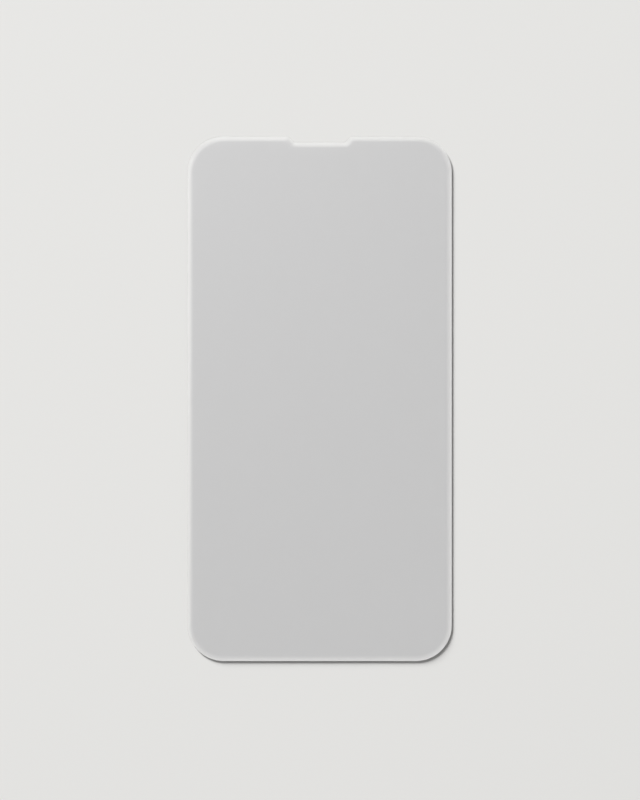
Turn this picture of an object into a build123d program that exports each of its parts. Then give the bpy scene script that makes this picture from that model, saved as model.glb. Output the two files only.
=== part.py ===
from build123d import *

import os
from math import hypot

# A phone screen protector: one sheet of tempered glass with rounded corners, an earpiece notch in
# its top edge, and an upper edge that is ground to a long shallow curve.
# Millimetres. The origin is the centre of the underside, which sticks to the phone's screen.
# +Z points away from the screen, and +Y towards the notch.

# Outline
plate_width = 68.5
plate_length = 136.0
plate_thickness = 0.5
corner_radius = 9.3

# Earpiece notch
notch_width = 14.8  # halfway down its flanks
notch_depth = 1.5
notch_flank_run = 1.4  # how far each flank leans, along the top edge
notch_floor_radius = 0.5
notch_mouth_land = 0.2  # radius of the curved edge's inner line round the mouth

# Edge section, from the underside up
arris = 0.05  # chamfer under the side wall
wall_height = 0.1  # straight part of the side wall
nose_radius = 0.12  # round between the side wall and the curve
edge_width = 1.6  # how far the edge reaches in from the outline

# Sizes that follow
half_length = plate_length / 2
half_mouth = (notch_width + notch_flank_run) / 2
half_floor = (notch_width - notch_flank_run) / 2
notch_mouth_radius = edge_width + notch_mouth_land

# The curve is one arc, level where it meets the upper face and tangent to the nose.
nose_x = nose_radius
nose_y = arris + wall_height
reach = edge_width - nose_x
rise = plate_thickness - nose_y
curve_radius = (reach**2 + rise**2 - nose_radius**2) / (2 * (rise - nose_radius))
curve_x = edge_width
curve_y = plate_thickness - curve_radius
centres = hypot(nose_x - curve_x, nose_y - curve_y)
tangent_x = nose_x + nose_radius * (nose_x - curve_x) / centres
tangent_y = nose_y + nose_radius * (nose_y - curve_y) / centres

# The sheet seen from above
with BuildSketch() as outline:
    RectangleRounded(plate_width, plate_length, corner_radius)
    with BuildLine() as notch:
        Polyline(
            (-half_mouth, half_length),
            (-half_floor, half_length - notch_depth),
            (half_floor, half_length - notch_depth),
            (half_mouth, half_length),
            close=True,
        )
    make_face(mode=Mode.SUBTRACT)
    mouth = outline.vertices().group_by(Axis.Y)[-1].sort_by(SortBy.DISTANCE)[:2]
    fillet(mouth, notch_mouth_radius)
    floor = (
        outline.vertices()
        .filter_by_position(Axis.X, -half_mouth, half_mouth)
        .filter_by_position(Axis.Y, 0, half_length)
        .group_by(Axis.Y)[0]
    )
    fillet(floor, notch_floor_radius)

# The ground edge follows the whole outline, through the notch as well.
with BuildPart() as edge_band:
    with BuildSketch(Plane(origin=(-plate_width / 2, 0, 0), x_dir=(1, 0, 0), z_dir=(0, -1, 0))):
        with BuildLine() as section:
            under = Polyline((edge_width, 0), (arris, 0), (0, arris), (0, nose_y))
            nose = TangentArc(under @ 1, (tangent_x, tangent_y), tangent=(0, 1))
            curve = TangentArc(nose @ 1, (edge_width, plate_thickness), tangent=nose % 1)
            Line(curve @ 1, under @ 0)
        make_face()
    sweep(path=outline.sketch.face().outer_wire())

# The flat middle of the sheet, up to the inner line of the ground edge.
with BuildPart() as screen_protector:
    add(edge_band.part)
    with BuildSketch() as middle:
        add(outline.sketch)
        offset(amount=-edge_width, kind=Kind.INTERSECTION)
    extrude(amount=plate_thickness)

screen_protector.part.label = "screen_protector"

os.makedirs("parts", exist_ok=True)
export_step(screen_protector.part, "parts/screen_protector.step")
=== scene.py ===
from math import asin, atan2, cos, hypot, pi, radians, sin, tan

import bpy
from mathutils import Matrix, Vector
from mathutils.geometry import delaunay_2d_cdt


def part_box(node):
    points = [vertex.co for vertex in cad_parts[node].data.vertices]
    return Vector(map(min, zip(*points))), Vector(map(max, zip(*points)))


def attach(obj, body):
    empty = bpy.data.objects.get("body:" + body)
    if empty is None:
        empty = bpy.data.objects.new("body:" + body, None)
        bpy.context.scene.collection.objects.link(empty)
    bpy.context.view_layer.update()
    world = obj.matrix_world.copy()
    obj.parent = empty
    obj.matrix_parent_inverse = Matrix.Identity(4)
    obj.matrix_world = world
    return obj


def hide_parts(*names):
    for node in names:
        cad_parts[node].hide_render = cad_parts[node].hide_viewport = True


# A phone screen protector: one sheet of grey-tinted satin glass, lying on a pale floor and seen
# from straight above. Its ground edge cuts through the tint, which leaves a pale rim all round.

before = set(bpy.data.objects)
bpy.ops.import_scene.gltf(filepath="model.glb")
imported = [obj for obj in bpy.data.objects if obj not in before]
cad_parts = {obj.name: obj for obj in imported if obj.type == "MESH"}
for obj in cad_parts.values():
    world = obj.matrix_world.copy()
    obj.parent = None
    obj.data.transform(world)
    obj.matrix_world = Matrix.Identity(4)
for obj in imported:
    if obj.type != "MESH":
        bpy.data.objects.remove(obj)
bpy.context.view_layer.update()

# The sheet in millimetres, with the sizes of the solid that it replaces
MM = 0.001
NODE = "screen_protector"
low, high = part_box(NODE)
PLATE_WIDTH, PLATE_LENGTH, PLATE_THICKNESS = (high - low) / MM
CORNER_RADIUS = 9.3

# Edge section, from the underside up
ARRIS = 0.05  # chamfer under the side wall
WALL_HEIGHT = 0.1  # straight part of the side wall
NOSE_RADIUS = 0.12  # round between the side wall and the curve
EDGE_WIDTH = 1.6  # how far the edge reaches in from the outline

# Earpiece notch
NOTCH_WIDTH = 14.8  # halfway down its flanks
NOTCH_DEPTH = 1.5
NOTCH_FLANK_RUN = 1.4  # how far each flank leans, along the top edge
NOTCH_FLOOR_RADIUS = 0.5
NOTCH_MOUTH_LAND = 0.2  # radius of the curved edge's inner line round the mouth
NOTCH_MOUTH_RADIUS = EDGE_WIDTH + NOTCH_MOUTH_LAND

# Steps of the mesh along each stretch of the outline and of the edge section
END_STEPS = 12
SIDE_STEPS = 30
CORNER_STEPS = 48
SHOULDER_STEPS = 5
MOUTH_STEPS = 16
FLANK_STEPS = 3
FLOOR_ROUND_STEPS = 10
FLOOR_STEPS = 6
NOSE_STEPS = 8
CURVE_STEPS = 16

# How the flat faces are filled, with distances in millimetres
GRID = 4.0  # from one inner point to the next
GRID_MARGIN = 1.6  # from the inner points to the rim, at least
MERGE_DISTANCE = 1e-6
FILL_INSIDE = 1  # asks delaunay_2d_cdt for the triangles inside the rim

# The glass, where a level is a share of the thickness from the underside up
GLASS_IOR = 1.6
TINT_SEEN = (0.666, 0.669, 0.681)  # what the tint leaves of light on its way to the eye
TINT_LIT = (0.86, 0.86, 0.87)  # and of a lamp's light on its way down
SEEN_RISE = [(0.56, 0.0), (0.74, 0.08), (0.9, 0.5), (0.97, 0.74), (1.0, 1.0)]  # level, share of the tint
LIT_RISE = [(0.55, 0.0), (0.7, 1.0)]  # level, share of the tint
LET_OUT = [(0.0, 1.0), (0.01, 0.0), (0.97, 0.0), (1.0, 1.0)]  # level, share of light that comes out
FACE_ROUGH = 0.34
WALL_ROUGH = 0.45
CURVE_ROUGH = 0.3
ROUGHNESS = [  # level, roughness: underside, side wall, curve, upper face
    (0.0, FACE_ROUGH),
    (0.02, WALL_ROUGH),
    (0.5, WALL_ROUGH),
    (0.56, CURVE_ROUGH),
    (0.8, CURVE_ROUGH),
    (1.0, FACE_ROUGH),
]
HAZE_SCALE = 45.0  # a faint unevenness of the satin
HAZE_DETAIL = 3.0
HAZE_SWING = 0.03  # of the roughness, up and down

# The floor and the room
FLOOR_COLOUR = (0.780, 0.776, 0.760)
FLOOR_ROUGH = 0.9
FLOOR_HALF = 3.0  # metres
FLOOR_DROP = 0.01  # millimetres below the underside
BACKDROP_COLOUR = (0.80, 0.795, 0.785)
BACKDROP_STRENGTH = 1.0
ROOM_COLOUR = (1.0, 1.0, 1.0)
ROOM_STRENGTH = 0.03

# Lamps: name, tilt from straight up and side from the notch end towards the left, in degrees,
# distance and diameter in metres, and power in watts
KEY_LAMP = ("key", 76, 36, 12.0, 3.2, 4425.0)
BOX_DISTANCE = 2.6
SOFT_BOXES = [
    ("top_box", 28, 8, BOX_DISTANCE, 0.92, 7.4),
    ("left_box", 28, 66, BOX_DISTANCE, 0.92, 6.12),
    ("ceiling_box", 16, 32, BOX_DISTANCE, 0.73, 3.75),
]

# The camera, straight above at the photograph's scale
IMAGE_WIDTH, IMAGE_HEIGHT = 640, 800
PIXEL = 0.2591  # millimetres on the sheet
SHEET_PIXEL = (319.65, 398.73)  # where the sheet's centre lies in the image
LENS, SENSOR = 100.0, 36.0


def add_object(name, data):
    """A new object in the scene."""
    item = bpy.data.objects.new(name, data)
    bpy.context.scene.collection.objects.link(item)
    return item


def walk(x, y, heading, length, turn):
    """Place and heading at the end of a stretch that is straight or turns evenly, left if positive."""
    chord = length * sin(turn / 2) / (turn / 2) if turn else length
    way = heading + turn / 2
    return x + chord * cos(way), y + chord * sin(way), heading + turn


def outline():
    """Points along the outline, counter-clockwise, each with the direction into the sheet."""
    lean = atan2(NOTCH_DEPTH, NOTCH_FLANK_RUN)
    mouth_cut = NOTCH_MOUTH_RADIUS * tan(lean / 2)
    floor_cut = NOTCH_FLOOR_RADIUS * tan(lean / 2)
    half_mouth = (NOTCH_WIDTH + NOTCH_FLANK_RUN) / 2
    half_floor = (NOTCH_WIDTH - NOTCH_FLANK_RUN) / 2

    # Length, turn and steps of each stretch
    end = (PLATE_WIDTH - 2 * CORNER_RADIUS, 0, END_STEPS)
    side = (PLATE_LENGTH - 2 * CORNER_RADIUS, 0, SIDE_STEPS)
    corner = (CORNER_RADIUS * pi / 2, pi / 2, CORNER_STEPS)
    shoulder = (PLATE_WIDTH / 2 - CORNER_RADIUS - half_mouth - mouth_cut, 0, SHOULDER_STEPS)
    mouth = (NOTCH_MOUTH_RADIUS * lean, lean, MOUTH_STEPS)
    flank = (hypot(NOTCH_DEPTH, NOTCH_FLANK_RUN) - mouth_cut - floor_cut, 0, FLANK_STEPS)
    floor_round = (NOTCH_FLOOR_RADIUS * lean, -lean, FLOOR_ROUND_STEPS)
    floor = (2 * (half_floor - floor_cut), 0, FLOOR_STEPS)
    notch = [mouth, flank, floor_round, floor, floor_round, flank, mouth]
    route = [end, corner, side, corner, shoulder, *notch, shoulder, corner, side, corner]

    points = []
    start = (CORNER_RADIUS - PLATE_WIDTH / 2, -PLATE_LENGTH / 2, 0.0)
    for length, turn, steps in route:
        for k in range(steps):
            x, y, heading = walk(*start, length * k / steps, turn * k / steps)
            points.append((x, y, -sin(heading), cos(heading)))
        start = walk(*start, length, turn)
    return points


def section_arc(centre_in, centre_up, radius, first, last, steps):
    """Points of an arc in the edge section. Its angles are the normal's, from straight up outwards."""
    arc = []
    for k in range(steps + 1):
        angle = first + (last - first) * k / steps
        normal = (-sin(angle), cos(angle))
        arc.append((centre_in + radius * normal[0], centre_up + radius * normal[1], normal, normal))
    return arc


def edge_section():
    """Points from the underside up: reach inwards, height, and the normals just below and just above.

    A normal is how far it points inwards and upwards.
    """
    nose_height = ARRIS + WALL_HEIGHT
    reach = EDGE_WIDTH - NOSE_RADIUS
    rise = PLATE_THICKNESS - nose_height
    curve_radius = (reach**2 + rise**2 - NOSE_RADIUS**2) / (2 * (rise - NOSE_RADIUS))
    slope = asin(reach / (curve_radius - NOSE_RADIUS))  # where the nose runs into the curve
    down, outwards = (0.0, -1.0), (-1.0, 0.0)
    between = (-sin(pi / 4), -cos(pi / 4))
    chamfer = [(ARRIS, 0.0, down, between), (0.0, ARRIS, between, outwards)]
    nose = section_arc(NOSE_RADIUS, nose_height, NOSE_RADIUS, pi / 2, slope, NOSE_STEPS)
    curve = section_arc(EDGE_WIDTH, PLATE_THICKNESS - curve_radius, curve_radius, slope, 0.0, CURVE_STEPS)
    return chamfer + nose + curve[1:]


def inside(point, loop):
    """True where the point lies within the closed loop."""
    hit = False
    for a, b in zip(loop, loop[1:] + loop[:1]):
        if (a.y > point.y) != (b.y > point.y):
            if point.x < (b.x - a.x) * (point.y - a.y) / (b.y - a.y) + a.x:
                hit = not hit
    return hit


def grid_points(rim):
    """Points of a square grid inside the rim and clear of it."""
    columns = int(PLATE_WIDTH / 2 / GRID)
    rows = int(PLATE_LENGTH / 2 / GRID)
    points = []
    for i in range(-columns, columns + 1):
        for j in range(-rows, rows + 1):
            point = Vector((i * GRID, j * GRID))
            if inside(point, rim) and all((point - q).length > GRID_MARGIN for q in rim):
                points.append(point)
    return points


def build_sheet():
    """One closed mesh: rings of points up the ground edge, and flat faces inside the first and the last."""
    around = outline()
    section = edge_section()
    count = len(around)
    verts, faces, normals = [], [], []

    def normal_at(k, inwards, up):
        return (around[k][2] * inwards, around[k][3] * inwards, up)

    for reach, height, _, _ in section:
        for x, y, in_x, in_y in around:
            verts.append(((x + in_x * reach) * MM, (y + in_y * reach) * MM, height * MM))
    for ring in range(len(section) - 1):
        lower, upper = ring * count, (ring + 1) * count
        above, below = section[ring][3], section[ring + 1][2]
        for k in range(count):
            j = (k + 1) % count
            faces.append((lower + k, lower + j, upper + j, upper + k))
            normals += [normal_at(k, *above), normal_at(j, *above)]
            normals += [normal_at(j, *below), normal_at(k, *below)]

    loop = [(k, (k + 1) % count) for k in range(count)]
    for start, up in ((0, -1.0), (len(verts) - count, 1.0)):
        rim = [Vector(point[:2]) / MM for point in verts[start:start + count]]
        height = verts[start][2]
        points, _, triangles, *_ = delaunay_2d_cdt(
            rim + grid_points(rim), loop, [], FILL_INSIDE, MERGE_DISTANCE
        )
        inner = len(verts)
        verts += [(point.x * MM, point.y * MM, height) for point in points[count:]]
        for triangle in triangles:
            corners = [start + k if k < count else inner + k - count for k in triangle]
            faces.append(corners if up > 0 else corners[::-1])
            normals += [(0.0, 0.0, up)] * len(corners)

    mesh = bpy.data.meshes.new("protector_sheet")
    mesh.from_pydata(verts, [], faces)
    mesh.polygons.foreach_set("use_smooth", [True] * len(faces))
    mesh.update()
    mesh.normals_split_custom_set(normals)
    return add_object("protector_sheet", mesh)


def empty_tree(owner):
    """The node tree of a material or a world, with nothing in it."""
    owner.use_nodes = True
    owner.node_tree.nodes.clear()
    return owner.node_tree


def calculate(tree, operation, first, second, clamp=False):
    """The result of an operation on two values, each a socket or a number."""
    node = tree.nodes.new("ShaderNodeMath")
    node.operation = operation
    node.use_clamp = clamp
    for entry, value in zip(node.inputs, (first, second)):
        if isinstance(value, float):
            entry.default_value = value
        else:
            tree.links.new(value, entry)
    return node.outputs[0]


def ramp(tree, source, stops):
    """A colour that runs through the given (level, colour) stops as source goes from 0 to 1."""
    node = tree.nodes.new("ShaderNodeValToRGB")
    marks = node.color_ramp.elements
    for k, (level, colour) in enumerate(stops):
        mark = marks[k] if k < 2 else marks.new(level)
        mark.position = level
        mark.color = (*colour, 1)
    tree.links.new(source, node.inputs["Fac"])
    return node.outputs["Color"]


def grey_stops(values):
    """Stops of plain grey for a ramp that stands for a number."""
    return [(level, (value, value, value)) for level, value in values]


def tint_stops(tint, shares):
    """Stops of the colour that a share of the whole tint leaves."""
    return [(level, [c**share for c in tint]) for level, share in shares]


def mix_shaders(tree, share, first, second):
    """The first shader where share is 0, and the second where it is 1."""
    node = tree.nodes.new("ShaderNodeMixShader")
    for entry, value in zip(node.inputs, (share, first, second)):
        tree.links.new(value, entry)
    return node.outputs[0]


def seen_glass(tree, place, level):
    """The glass as the eye meets it: tinted near the upper face, satin, and faintly uneven."""
    glass = tree.nodes.new("ShaderNodeBsdfPrincipled")
    glass.inputs["Transmission Weight"].default_value = 1.0
    glass.inputs["IOR"].default_value = GLASS_IOR
    tree.links.new(ramp(tree, level, tint_stops(TINT_SEEN, SEEN_RISE)), glass.inputs["Base Color"])
    haze = tree.nodes.new("ShaderNodeTexNoise")
    haze.inputs["Scale"].default_value = HAZE_SCALE
    haze.inputs["Detail"].default_value = HAZE_DETAIL
    tree.links.new(place, haze.inputs["Vector"])
    swing = tree.nodes.new("ShaderNodeMapRange")
    swing.inputs["To Min"].default_value = -HAZE_SWING
    swing.inputs["To Max"].default_value = HAZE_SWING
    tree.links.new(haze.outputs["Fac"], swing.inputs["Value"])
    grade = ramp(tree, level, grey_stops(ROUGHNESS))
    tree.links.new(calculate(tree, "ADD", grade, swing.outputs["Result"]), glass.inputs["Roughness"])
    return glass.outputs[0]


def lit_glass(tree, level):
    """The glass as light on its way to the floor meets it: tinted, but not bent.

    LET_OUT keeps it from coming out by the ground edge, which draws the thin line of shadow there.
    """
    tint = ramp(tree, level, tint_stops(TINT_LIT, LIT_RISE))
    comes_out = ramp(tree, level, grey_stops(LET_OUT))
    # A ray runs from the floor to the lamp, so it meets a face from inside where the light goes in
    goes_in = tree.nodes.new("ShaderNodeNewGeometry").outputs["Backfacing"]
    passed = tree.nodes.new("ShaderNodeVectorMath")
    passed.operation = "SCALE"
    tree.links.new(tint, passed.inputs["Vector"])
    tree.links.new(calculate(tree, "MAXIMUM", comes_out, goes_in), passed.inputs["Scale"])
    clear = tree.nodes.new("ShaderNodeBsdfTransparent")
    tree.links.new(passed.outputs["Vector"], clear.inputs["Color"])
    return clear.outputs[0]


def glass_material():
    """Satin glass with a grey tint in its upper layer."""
    material = bpy.data.materials.new("tinted_glass")
    tree = empty_tree(material)
    place = tree.nodes.new("ShaderNodeTexCoord").outputs["Object"]
    axes = tree.nodes.new("ShaderNodeSeparateXYZ")
    tree.links.new(place, axes.inputs["Vector"])
    level = calculate(tree, "DIVIDE", axes.outputs["Z"], PLATE_THICKNESS * MM, clamp=True)
    seen = seen_glass(tree, place, level)
    lit = lit_glass(tree, level)
    path = tree.nodes.new("ShaderNodeLightPath").outputs
    from_floor = mix_shaders(tree, path["Is Diffuse Ray"], seen, lit)
    to_lamp = mix_shaders(tree, path["Is Shadow Ray"], from_floor, lit)
    output = tree.nodes.new("ShaderNodeOutputMaterial")
    tree.links.new(to_lamp, output.inputs["Surface"])
    return material


def floor_material():
    """Pale and without gloss."""
    material = bpy.data.materials.new("pale_floor")
    tree = empty_tree(material)
    paint = tree.nodes.new("ShaderNodeBsdfPrincipled")
    paint.inputs["Base Color"].default_value = (*FLOOR_COLOUR, 1)
    paint.inputs["Roughness"].default_value = FLOOR_ROUGH
    paint.inputs["Specular IOR Level"].default_value = 0.0
    output = tree.nodes.new("ShaderNodeOutputMaterial")
    tree.links.new(paint.outputs[0], output.inputs["Surface"])
    return material


def build_floor():
    """A wide square floor just under the sheet."""
    corners = [(-1, -1), (1, -1), (1, 1), (-1, 1)]
    verts = [(x * FLOOR_HALF, y * FLOOR_HALF, -FLOOR_DROP * MM) for x, y in corners]
    mesh = bpy.data.meshes.new("floor")
    mesh.from_pydata(verts, [], [(0, 1, 2, 3)])
    return add_object("floor", mesh)


def area_light(name, tilt, side, distance, diameter, power):
    """A round lamp that faces the sheet and can't be seen itself."""
    data = bpy.data.lights.new(name, "AREA")
    data.shape = "DISK"
    data.size = diameter
    data.energy = power
    tilt, side = radians(tilt), radians(side)
    away = Vector((-sin(side) * sin(tilt), cos(side) * sin(tilt), cos(tilt)))
    lamp = add_object(name, data)
    lamp.location = away * distance
    lamp.rotation_euler = (-away).to_track_quat("-Z", "Y").to_euler()
    lamp.visible_camera = False
    return lamp


def background(tree, colour, strength):
    """Plain light from all round."""
    node = tree.nodes.new("ShaderNodeBackground")
    node.inputs["Color"].default_value = (*colour, 1)
    node.inputs["Strength"].default_value = strength
    return node.outputs[0]


def room_world():
    """A faint light all round, and a pale backdrop for the eye, also in the glass and through it."""
    world = bpy.data.worlds.new("room")
    tree = empty_tree(world)
    room = background(tree, ROOM_COLOUR, ROOM_STRENGTH)
    backdrop = background(tree, BACKDROP_COLOUR, BACKDROP_STRENGTH)
    path = tree.nodes.new("ShaderNodeLightPath").outputs
    sight = calculate(tree, "ADD", path["Is Camera Ray"], path["Is Glossy Ray"])
    sight = calculate(tree, "ADD", sight, path["Is Transmission Ray"])
    before_floor = calculate(tree, "LESS_THAN", path["Diffuse Depth"], 1.0)
    share = calculate(tree, "MULTIPLY", sight, before_floor, clamp=True)
    output = tree.nodes.new("ShaderNodeOutputWorld")
    tree.links.new(mix_shaders(tree, share, room, backdrop), output.inputs["Surface"])
    return world


def build_camera():
    """Looks straight down, so that the sheet has the photograph's place and scale."""
    data = bpy.data.cameras.new("camera")
    data.lens = LENS
    data.sensor_width = SENSOR
    camera = add_object("camera", data)
    camera.location = (
        (IMAGE_WIDTH / 2 - SHEET_PIXEL[0]) * PIXEL * MM,
        (SHEET_PIXEL[1] - IMAGE_HEIGHT / 2) * PIXEL * MM,
        (IMAGE_HEIGHT * PIXEL * LENS / SENSOR + PLATE_THICKNESS) * MM,
    )
    return camera


# The sheet
sheet = build_sheet()
sheet.data.materials.append(glass_material())
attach(sheet, "root")
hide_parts(NODE)

# The floor
floor = build_floor()
floor.data.materials.append(floor_material())

# The light: a low key from the upper left, three soft boxes, and a pale room
key = area_light(*KEY_LAMP)
key.visible_glossy = False  # it lights and shadows, without a glare on the sheet in any view
key.visible_transmission = False
for soft_box in SOFT_BOXES:
    area_light(*soft_box)
bpy.context.scene.world = room_world()

# The view
bpy.context.scene.camera = build_camera()
bpy.context.scene.view_settings.view_transform = "Standard"
